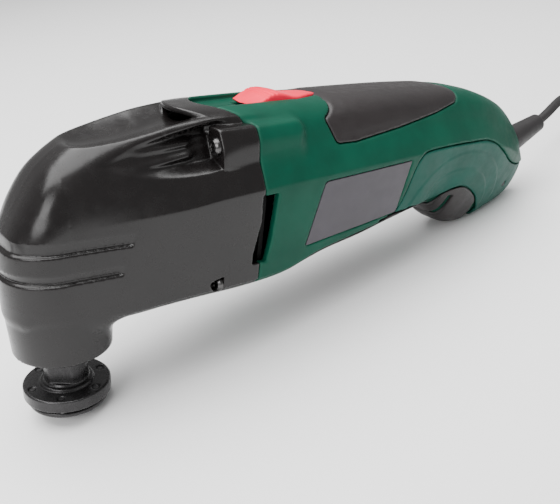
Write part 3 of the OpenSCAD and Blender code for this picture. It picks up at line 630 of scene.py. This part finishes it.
def pocket_depth(x, z):
    """Depth of the fluted hollow in front of, over and behind each upper boss."""
    inside = np.maximum(-pocket_outline(x, z), 0)
    depth = np.interp(x, [10, 22, 36, 49, 57, 61, 66, 80, 92, 101],
        [0, 1.3, 3.3, 6.0, 6.6, 3.4, 1.9, 1.4, 0.8, 0])
    edge = np.interp(x, [10, 30, 50, 60, 80, 100], [3.0, 4.2, 3.6, 2.6, 3.0, 4.0])
    fade = eased((x - 19) / 9) * eased((52 - x) / 6)
    upper = np.exp(-((z - 104.9 - 0.02 * (x - 30)) / FLUTE_WIDTH) ** 2)
    lower = np.exp(-((z - 99.4 - 0.09 * (x - 25)) / FLUTE_WIDTH) ** 2)
    ridge = upper + lower
    depth = depth * (1 - 0.5 * eased((z - 107) / 5))
    return depth * eased(inside / edge) * (1 - 0.34 * fade * np.minimum(ridge, 1))


# ---- head -------------------------------------------------------------------------
scoop_floor = line([(6, 107.0), (12, 106.0), (20, 106.1), (26, 106.6), (36, 108), (42, 109.1), (55, 110.8),
    (64, 111.5)])


def scoop(x, y, z):
    """Leaf-shaped hollow on top of the head, up to the lip of the hood."""
    floor = scoop_floor(x) + 0.012 * y * y
    lip = 49.5 + 6.0 * (y / 16) ** 2
    return np.maximum(np.maximum((floor - z) * 0.95, x - lip), np.abs(y) - 18.5)


def under_hood(x, y, z):
    """The air inlet between the scoop's floor and the hood."""
    floor = scoop_floor(x) + 0.02 * y * y - 0.3
    return np.maximum(np.maximum(floor - z, np.abs(y) - 16.2), x - 63)


def groove_depth(x, z):
    """Depth of the two shiplap grooves: none at the top, deepest at the ledge."""
    depth = 0
    for ledge, height, end in ((72.5, 5.0, 21.0), (61.4, 4.2, 17.0)):
        rise = np.clip((ledge + height - z) / height, 0, 1)
        floor = eased((z - ledge) / 1.1)
        stop = np.clip((end + 0.3 * (z - ledge) - x) / 1.2, 0, 1)
        depth = depth + 1.6 * (0.1 * (rise > 0) + 0.9 * rise) * floor * stop
    return depth


def head(x, y, z):
    """The black cover: hollow, with four screw bosses, the scoop and hood, and the spindle's opening."""
    s = skin(x, y, z)
    side = np.abs(y)
    seam = seam_at(y, z)
    outer = s + groove_depth(x, z) + pocket_depth(x, z) * (side > 8)
    hollow = outer + HEAD_WALL
    low_boss = np.maximum(np.hypot(side - LOWER_BOSS[0], z - LOWER_BOSS[1]) - 5, 50 - x)
    hollow = both(hollow, SCOOP_WALL - scoop(x, y, z), 1)
    shell = join(outer, both(both(boss(x, y, z, 50, 90), s - BOSS_RISE, 0.8), SCREW_X - x, 0.8), 0.6)
    notch = cone(x, side, z, (50.0, 28.5, 50.4), (55.5, 26.6, 49.0), 0.2, 4.0)
    shell = less(shell, both(notch, x - SCREW_X, 0.4), 0.4)
    shell = less(shell, scoop(x, y, z), 0.9)
    shell = less(shell, np.maximum(under_hood(x, y, z), s + HOOD_WALL), 0.4)
    solid = np.minimum(np.maximum(boss(x, y, z, 43, 90) + 0.2, 43 - x), low_boss + 0.3)
    shell = less(shell, both(hollow, -solid, 1), 0.5)
    neck_hollow = np.maximum(np.hypot(x, y) - 17.5, np.maximum(30.3 - z, z - 58))
    shell = less(shell, neck_hollow, 0.4)
    shell = less(shell, np.maximum(np.hypot(x, y) - 14.2, z - 40), 0.6)
    shell = less(shell, vent_slot(x, y, z), 0.4)
    for b in (RAIL, LOWER_BOSS):
        shell = less(shell, np.maximum(np.hypot(side - b[0], z - b[1]) - 2.0, 56 - x), 0.3)
    return both(shell, x - seam + 0.12, 0.5)


vent_outline = Outline([(72.0, 84.6), (79.4, 84.6), (77.8, 64.6), (76.0, 55), (69.2, 55.4), (69.4, 60.5),
    (72.2, 74)], 0.2, 6)


def vent_slot(x, y, z):
    """Slot across the seam on each side, where the fan blows out."""
    return np.maximum(vent_outline(x, z), 24.0 - np.abs(y))


add_piece("head_cover", mesh_of("head_cover", head, (-26, -35, 27), (74, 35, 118), 0.6), "root",
          "head_black", "head_shell")


# ---- body -------------------------------------------------------------------------
grip_outline = Outline([(119.8, 135), (119.8, 114.8), (116.7, 113.4), (113.4, 110.6), (109.2, 108.3),
    (109.2, 107), (112.2, 98.9), (113.6, 98.0), (123.2, 97.6), (150.6, 99.9), (176.7, 103), (192, 105.6),
    (195, 107.4), (199, 111.5), (202, 135)], 0.25, 8)
cover_outline = Outline(np.vstack([curve([(148.4, 60.6), (150.6, 62.6), (154.3, 69.9), (157.7, 80.8),
    (160.4, 85.8), (165.4, 88.4), (185, 88.4), (204.6, 87.3), (213, 86.3), (221.8, 83.1), (232.2, 76.8),
    (242.4, 70), (252, 66), (262, 64), (280, 62)], 5), [(290, 62), (290, 10), (140, 10), (140, 59)]]), 0.3, 8)
hook_outline = Outline(curve([(160, 61), (169, 61), (185.5, 64), (192, 65), (198.7, 64.8), (204.8, 62),
    (209.9, 57.7), (211.7, 53.7), (214, 46), (219, 25), (219, 25), (160, 25), (160, 25), (160, 61)],
    4), 0.3, 8)
belly_edge = line([(86, 30), (89, 45.6), (96, 50), (103.6, 52.6), (121, 55.3), (140.5, 58.1), (148.6, 60.4),
    (174, 61), (190, 61)])
plate_outline = Outline([(102.9, 84.4), (104.2, 85.2), (153.9, 86.0), (154.3, 85.4), (150.2, 62.2),
    (149.2, 61.2), (96.9, 57.2), (96.1, 57.8)], 0.2, 8)


def hook_face(x, y, z):
    """Region of the tail's rubber, which leans inward towards the middle."""
    inward = 26 - np.clip(np.abs(y), 12, 30)
    return hook_outline(x - 1.1 * inward, z + 0.5 * inward)


def belly_strip(x, y, z):
    """Under the rubber strip's edge, up to the tail."""
    return np.maximum(z - belly_edge(x), x - 176)


def trough(x, y, z):
    """Recess that the slide switch sits in, pointed at its rear."""
    half = np.interp(x, [60, 84, 104, 119, 123], [10.2, 10.2, 9.6, 5.2, 1.5])
    return np.maximum(np.maximum(np.abs(y) - half, 113.2 - z), x - 122.6)


# Ribs round the motor: place along it, half thickness, radius of the opening.
MOTOR_RIBS = ((97.45, 1.45, 22.6), (136.55, 1.45, 22.6), (171.5, 4.5, 13))
SHELL_SCREWS = ((94.5, 52.6), (146, 101.5), (161, 66.8), (234, 90.5), (249, 54))
BOOT_AT = (266.0, 0.0, 72.8)
BOOT_LIFT = math.radians(17)


def along_boot(x, z):
    """Distance along the cord's way out, and the height off it."""
    c, s = math.cos(BOOT_LIFT), math.sin(BOOT_LIFT)
    return (x - BOOT_AT[0]) * c + (z - BOOT_AT[2]) * s, (z - BOOT_AT[2]) * c - (x - BOOT_AT[0]) * s


def screw_ways(x, y, z, grow=0.0):
    """Clearance and head recess of each shell screw, from the right."""
    f = 1e3
    for sx, sz in SHELL_SCREWS:
        r = np.hypot(x - sx, z - sz)
        f = np.minimum(f, np.maximum(r - 3.5 - grow, 16 - y))
        f = np.minimum(f, np.maximum(r - 1.7 - grow, np.maximum(-14 - y, y - 17)))
    return f


def intake(x, y, z):
    """Air slots across the front of the hooked tail."""
    f = 1e3
    for sx in (183, 190, 197):
        f = np.minimum(f, np.maximum(np.maximum(np.abs(x - sx - 1.5) - 1.5, np.abs(y) - 19), z - 58))
    return f


def body(x, y, z):
    """The green handle before it is split: hollow, with ribs and screw towers left standing."""
    s = skin(x, y, z)
    side = np.abs(y)
    bare = s + pocket_depth(x, z) * (side > 8)
    outer = join(bare, both(boss(x, y, z, 60, RAIL_END), s - BOSS_RISE, 0.8), 2.2)
    # recesses of the skins, the label and the belly strip
    skins = np.minimum(grip_outline(x, z) * np.ones_like(s), cover_outline(x, z) * np.ones_like(s))
    skins = np.minimum(skins, np.maximum(hook_face(x, y, z), x - 222))
    skins = np.minimum(skins, belly_strip(x, y, z))
    shell = less(outer, both(skins - 0.05, -(s + SKIN_RECESS), 0.4), 0.7)
    shell = less(shell, np.maximum(plate_outline(x, z) - 0.05, -(s + PLATE_RECESS)), 0.5)
    hollow = np.maximum(bare + BODY_WALL, x - 262)
    keep = np.maximum(np.maximum(side - 13, np.abs(z - 111.8) - 1.4), x - 125)
    for rib_x, half, opening in MOTOR_RIBS:
        keep = np.minimum(keep, np.maximum(np.abs(x - rib_x) - half, opening - np.hypot(y, z - MOTOR_Z)))
    for sx, sz in SHELL_SCREWS:
        keep = np.minimum(keep, np.hypot(x - sx, z - sz) - 4.6)
    keep = np.minimum(keep, np.maximum(np.hypot(side - RAIL[0], z - RAIL[1]) - 4.6, x - 88))
    keep = np.minimum(keep, np.maximum(np.hypot(side - LOWER_BOSS[0], z - LOWER_BOSS[1]) - 4.4, x - 88))
    shell = less(shell, both(hollow, -keep, 0.8), 0.4)
    shell = less(shell, trough(x, y, z), 0.7)
    # ways of the switch's push rod and of the slide's stem
    shell = less(shell, box(x, y, z, (78, -6.5, 105.9), (200, 6.5, 108.6)), 0.3)
    shell = less(shell, box(x, y, z, (80, -3.4, 104), (106, 3.4, 116)), 0.3)
    shell = less(shell, vent_slot(x, y, z), 0.4)
    shell = less(shell, screw_ways(x, y, z), 0.4)
    shell = less(shell, intake(x, y, z), 0.3)
    u, w = along_boot(x, z)
    shell = less(shell, np.maximum(np.hypot(y, w) - 7.75, np.abs(u) - 30), 0.4)
    lead_way = np.maximum(np.abs(z - 96.6) - 2.6, np.abs(x - 172) - 8)
    shell = less(shell, np.maximum(np.abs(side - 14.6) - 2.6, lead_way), 0.3)
    for b in (RAIL, LOWER_BOSS):
        shell = less(shell, np.maximum(np.hypot(side - b[0], z - b[1]) - 1.95, x - 86), 0.3)
    return both(shell, seam_at(y, z) + 0.12 - x, 0.5)


def left_body(x, y, z):
    return both(body(x, y, z), y + 0.06, 0.35)


def right_body(x, y, z):
    return both(body(x, y, z), 0.06 - y, 0.35)


def top_grip(x, y, z):
    """Rubber skin over the top, softly crowned."""
    s = skin(x, y, z)
    crown = 0.35 * eased((-grip_outline(x, z) - 0.5) / 5)
    f = both(np.maximum(s - 0.1 - crown, -(s + 1.6)), grip_outline(x, z) + 0.4, 0.9)
    return less(f, screw_ways(x, y, z, 0.1), 0.4)


def relief(x, y, z):
    """Steps of the rear cover that run round the hook."""
    r = np.hypot((x - 196) * 0.92, z - 44)
    return 0.32 * (eased((r - 29) / 1.4) - 0.6) + 0.32 * (eased((r - 38) / 1.4) - 0.5)


def rear_cover(x, y, z):
    """Raised panel round the tail, both sides in one, open where the rubber shows."""
    s = skin(x, y, z)
    top = s + relief(x, y, z)
    f = both(np.maximum(top, -(s + 1.5)), cover_outline(x, z) + 0.5, 0.8)
    f = both(f, -(hook_face(x, y, z) - 0.35), 0.6)
    f = both(f, -(belly_strip(x, y, z) - 0.3), 0.6)
    f = less(f, screw_ways(x, y, z, 0.1), 0.4)
    u, w = along_boot(x, z)
    return less(f, np.maximum(np.hypot(y, w) - 7.9, 10 - x), 0.4)


def left_cover(x, y, z):
    return both(rear_cover(x, y, z), y + 0.1, 0.3)


def right_cover(x, y, z):
    return both(rear_cover(x, y, z), 0.1 - y, 0.3)


def lower_grip(x, y, z):
    """Rubber under the belly and on the front of the hooked tail, with the air slots."""
    s = skin(x, y, z)
    region = np.minimum(np.maximum(hook_face(x, y, z), x - 222), belly_strip(x, y, z))
    f = both(np.maximum(s - 0.05, -(s + 1.6)), region + 0.28, 0.8)
    f = less(f, intake(x, y, z), 0.5)
    return less(f, screw_ways(x, y, z, 0.1), 0.3)


def left_plate(x, y, z):
    """Blank label plate, set into the left side."""
    s = skin(x, y, z)
    f = both(np.maximum(s + 0.12, -(s + 0.7)), plate_outline(x, z) + 0.15, 0.3)
    return np.maximum(f, y)


def right_plate(x, y, z):
    return left_plate(x, -y, z)


HOUSING = (
    # name, shape, low, high, step, slot, CAD node, material
    ("left_shell", left_body, (58, -34, 34), (274, 1, 119),
        0.78, "body_green", "left_body_shell", None),
    ("right_shell", right_body, (58, -1, 34), (274, 34, 119),
        0.78, "body_green", "right_body_shell", None),
    ("grip_skin", top_grip, (106, -31, 95), (203, 31, 118),
        0.6, "grip_rubber", "top_grip", None),
    ("belly_grip", lower_grip, (84, -34, 34), (224, 34, 68),
        0.6, "grip_rubber", "lower_grip", None),
    ("left_tail_cover", left_cover, (146, -34, 34), (275, 1, 91),
        0.6, "body_green", "left_rear_cover", "cover_green"),
    ("right_tail_cover", right_cover, (146, -1, 34), (275, 34, 91),
        0.6, "body_green", "right_rear_cover", "cover_green"),
    ("left_plate_blank", left_plate, (94, -34, 55), (156, -28, 88),
        0.3, "plate_plastic", "left_name_plate", None),
    ("right_plate_blank", right_plate, (94, 28, 55), (156, 34, 88),
        0.3, "plate_plastic", "right_name_plate", None),
)
for name, shape, low, high, step, slot, node, look in HOUSING:
    add_piece(name, mesh_of(name, shape, low, high, step), "root", slot, node, material=look)


# ---- slide switch -------------------------------------------------------------------
slider_line = line([(80, 113.4), (84, 113.9), (87.5, 115.6), (91, 117.4), (94, 118.0), (98, 117.6),
    (103, 116.1), (107, 115.3), (111, 115.2), (116, 114.9), (121, 114.0)])


def slider(x, y, z):
    """Slide button with three grip grooves, and the stem that drives the switch link."""
    side = np.abs(y)
    half = np.interp(x, [80, 84, 104, 116, 121], [7.6, 9.3, 8.8, 4.4, 1.4])
    top = slider_line(x) - 0.006 * y * y
    for gx in (90.2, 92.4, 94.6):
        top = top - 0.35 * np.maximum(1 - ((x - gx) / 0.5) ** 2, 0)
    f = both(z - top, side - half, 1.2)
    f = np.maximum(np.maximum(f, 113.4 - z), np.maximum(80.5 - x, x - 121))
    stem = box(x, y, z, (88, -3, 107.9), (100, 3, 114))
    return join(f, stem, 0.4)


add_piece("slide_button", mesh_of("slide_button", slider, (80, -10, 107.5), (122, 10, 120), 0.33), "switch",
          "switch_red", "switch_slider")


# ---- small parts ----------------------------------------------------------------------
def turned(points, step=0.1, margin=4):
    """A body of revolution about Z from its half section (radius, height)."""
    p = list(points)
    outline = Outline(p + [(-r, z) for r, z in reversed(p)], step, margin)
    return lambda x, y, z: outline(np.hypot(x, y), z)


def copies(name, mesh, matrices):
    """One mesh of several copies of another, each placed by a matrix."""
    count = len(mesh.vertices)
    points = np.zeros(count * 3)
    mesh.vertices.foreach_get("co", points)
    points = np.hstack([points.reshape(-1, 3), np.ones((count, 1))])
    faces = np.zeros(len(mesh.loops), int)
    mesh.loops.foreach_get("vertex_index", faces)
    faces = faces.reshape(-1, 4)
    out = bpy.data.meshes.new(name)
    all_points = np.vstack([(points @ np.array(m).T)[:, :3] for m in matrices])
    all_faces = np.vstack([faces + count * i for i in range(len(matrices))])
    out.from_pydata(all_points.tolist(), [], all_faces.tolist())
    out.polygons.foreach_set("use_smooth", np.ones(len(out.polygons), bool))
    out.update()
    return out


FLANGE_HALF = turned([(0, 5.8), (4.7, 5.8), (5.0, 6.1), (5.0, 7.0), (16.6, 7.0), (17, 7.4), (17, 11.5),
    (16.5, 12), (10.6, 11.9), (10.3, 12.9), (9.9, 13.2), (9.0, 13.2), (8.6, 13.8), (8.5, 15), (8.5, 32),
    (0, 32)])
FACING = (-0.604, -0.797)


def flange(x, y, z):
    """Accessory flange: two flats on its collar and six pin holes, bored for the spindle and bolt."""
    f = FLANGE_HALF(x, y, z)
    flat = np.abs(x * FACING[0] + y * FACING[1]) - 7.3
    f = both(f, -both(-flat, 14.2 - z, 0.3), 0.25)
    a = np.arctan2(y, x)
    nearest = np.round(a / (math.pi / 3)) * (math.pi / 3)
    r = np.hypot(x - 14 * np.cos(nearest), y - 14 * np.sin(nearest))
    f = less(f, r - 1.13, 0.1)
    f = less(f, np.maximum(r - 1.9 + (12.1 - z) * 0.9, np.maximum(10 - z, z - 12.6)), 0.15)
    f = less(f, np.maximum(np.hypot(x, y) - 3.3, z - 20), 0.2)
    return less(f, np.maximum(np.hypot(x, y) - 6.0, 12 - z), 0.2)


WASHER_HALF = turned([(0, 2.4), (12.6, 2.3), (13.6, 2.7), (15.2, 3.9), (15.4, 4.3), (15.4, 5.2),
    (15.1, 5.5), (0, 5.5)])


def washer(x, y, z):
    """Clamp washer: bored for the bolt, and recessed below for its head."""
    r = np.hypot(x, y)
    f = less(WASHER_HALF(x, y, z), np.maximum(r - 6.6, z - 4.05), 0.2)
    f = less(f, r - 3.08, 0.2)
    return less(f, np.maximum(r - 5.4, 4.6 - z), 0.2)


BOLT_HALF = turned([(0, 0.0), (4.6, 0.0), (5.6, 0.35), (6.3, 1.2), (6.5, 2.2), (6.5, 3.8), (6.3, 4.0),
    (3.0, 4.0), (3.0, 23.4), (2.5, 24), (0, 24)])


def bolt(x, y, z):
    """Clamp bolt with a hexagon socket in its head."""
    socket = np.maximum(np.abs(y), np.abs(x) * 0.8660254 + np.abs(y) * 0.5) - 2.5
    return less(BOLT_HALF(x, y, z), np.maximum(socket, z - 2.6), 0.2)


def cross_head(r, height, shank, length):
    """A pan head screw on Z, its head on top, with a cross recess."""
    half = turned([(0, height), (r * 0.35, height * 0.98), (r * 0.7, height * 0.84),
        (r * 0.93, height * 0.5), (r, 0.1), (r * 0.97, 0), (shank, 0), (shank, -length),
        (0, -length)], 0.06, 2)

    def screw(x, y, z):
        deep = (z - height + 1.7) * 0.35
        a = np.maximum(np.abs(x) - 0.35 - 0.15 * deep, np.abs(y) - 0.9 - deep)
        b = np.maximum(np.abs(y) - 0.35 - 0.15 * deep, np.abs(x) - 0.9 - deep)
        return less(half(x, y, z), np.maximum(np.minimum(a, b), height - 1.7 - z), 0.12)
    return screw


def placed(at, along):
    """Matrix that carries Z to a direction, at a place, in the tool's frame, then to the row frame."""
    turn = Vector((0, 0, 1)).rotation_difference(Vector(along)).to_matrix().to_4x4()
    return TO_ROW @ Matrix.Translation(Vector(at)) @ turn


add_piece("flange_disc", mesh_of("flange_disc", flange, (-17.5, -17.5, 5.5), (17.5, 17.5, 32.5), 0.34),
          "spindle", "dark_steel", "accessory_flange")
add_piece("clamp_disc", mesh_of("clamp_disc", washer, (-16, -16, 2), (16, 16, 6), 0.3), "clamp_washer",
          "dark_steel", "clamp_washer")
add_piece("clamp_screw", mesh_of("clamp_screw", bolt, (-7, -7, -0.2), (7, 7, 24.5), 0.24), "clamp_bolt",
          "dark_steel", "clamp_bolt")
# Each kind of screw is meshed once, unplaced, in millimetres, and its copies are put where they go.
still = Matrix.Identity(4)
screw = mesh_of("screw", cross_head(3.4, 2.4, 1.9, 29), (-3.6, -3.6, -29.3), (3.6, 3.6, 2.6), 0.2, still)
head_places = [placed((SCREW_X, side * b[0], b[1]), (-1, 0, 0))
    for side in (-1, 1) for b in (RAIL, LOWER_BOSS)]
add_piece("head_cross_screws", copies("head_cross_screws", screw, head_places), "root", "screw_steel",
          "head_screws")
screw = mesh_of("screw", cross_head(3.1, 2.3, 1.6, 29), (-3.3, -3.3, -29.3), (3.3, 3.3, 2.5), 0.2, still)
shell_places = [placed((sx, 16, sz), (0, 1, 0)) for sx, sz in SHELL_SCREWS]
add_piece("shell_cross_screws", copies("shell_cross_screws", screw, shell_places), "root", "dark_steel",
          "shell_screws")

CORD_BORE_R = 2.72
BOOT_HALF = turned([(0, -8), (9.4, -8), (9.4, -6.2), (7.6, -6.0), (7.5, 0.5), (6.4, 12), (5.5, 22),
    (5.3, 24.2), (5.1, 26.2), (4.2, 27), (0, 27)])


def sleeve(x, y, z):
    """Strain relief with the cord's bore through it."""
    return less(BOOT_HALF(x, y, z), np.hypot(x, y) - CORD_BORE_R, 0.2)


sleeve_place = placed(BOOT_AT, (math.cos(BOOT_LIFT), 0, math.sin(BOOT_LIFT)))
sleeve_mesh = mesh_of("cord_sleeve", sleeve, (-9.8, -9.8, -8.3), (9.8, 9.8, 27.3), 0.36, sleeve_place)
add_piece("cord_sleeve", sleeve_mesh, "root", "cord_rubber", "cord_boot")


# ---- floor, light -----------------------------------------------------------------
def make_stage():
    """The pale floor."""
    mesh = bpy.data.meshes.new("floor")
    mesh.from_pydata([(-6, -6, 0), (6, -6, 0), (6, 6, 0), (-6, 6, 0)], [], [(0, 1, 2, 3)])
    o = bpy.data.objects.new("floor", mesh)
    bpy.context.scene.collection.objects.link(o)
    m, shader = new_material("floor", (0.9, 0.9, 0.9), 0.7)
    mesh.materials.append(m)


def add_light(name, at, target, size, energy):
    """A rectangular lamp that faces its target."""
    data = bpy.data.lights.new(name, "AREA")
    data.shape = "RECTANGLE"
    data.size, data.size_y = size
    data.energy = energy
    o = bpy.data.objects.new(name, data)
    bpy.context.scene.collection.objects.link(o)
    o.location = at
    o.rotation_mode = "QUATERNION"
    o.rotation_quaternion = (Vector(target) - Vector(at)).to_track_quat("-Z", "Y")


make_stage()
world = bpy.data.worlds.new("world")
bpy.context.scene.world = world
world.use_nodes = True
world.node_tree.nodes["Background"].inputs["Color"].default_value = (1, 1, 1, 1)
world.node_tree.nodes["Background"].inputs["Strength"].default_value = 0.5
add_light("overhead", (-0.1, 0.15, 1.1), (0.0, 0, 0.0), (1.3, 1.3), 38)
add_light("front_left", (-0.75, -0.35, 0.5), (-0.08, 0, 0.07), (0.45, 0.45), 5)

bpy.context.view_layer.update()
